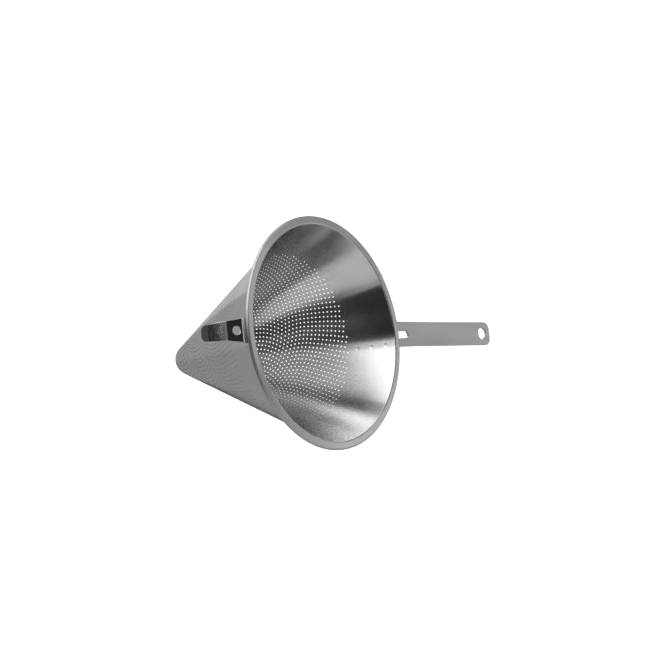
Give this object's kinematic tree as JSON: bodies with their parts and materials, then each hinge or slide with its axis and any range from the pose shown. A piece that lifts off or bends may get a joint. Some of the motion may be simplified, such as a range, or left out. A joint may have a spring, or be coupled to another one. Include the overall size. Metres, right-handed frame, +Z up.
{
  "type": "conical strainer",
  "caption": "Pierced steel cone with a rolled rim, a flat strap handle with a hanging hole, and a pot hook opposite it, for straining stocks and sauces.",
  "frame": {"origin": "middle of the round mouth, in the plane of the rim's flat top", "axes": "+X from the origin along the handle, -X through the pot hook, +Z up out of the mouth; the cone points down along -Z"},
  "size_m": [0.3582, 0.2, 0.198],
  "materials": {
    "cone_steel": "satin pierced sheet",
    "wire_steel": "drawn wire",
    "handle_steel": "brushed along its length",
    "hook_steel": "polished stainless steel",
    "weld_steel": "melted and set"
  },
  "bodies": {
    "root": {"strainer_cone": "cone_steel", "rim_wire": "wire_steel", "handle_strap": "handle_steel", "pot_hook": "hook_steel", "handle_weld_1": "weld_steel", "handle_weld_2": "weld_steel", "handle_weld_3": "weld_steel", "handle_weld_4": "weld_steel", "handle_weld_5": "weld_steel", "handle_weld_6": "weld_steel", "hook_weld_1": "weld_steel", "hook_weld_2": "weld_steel", "hook_weld_3": "weld_steel", "hook_weld_4": "weld_steel"}
  },
  "joints": []
}
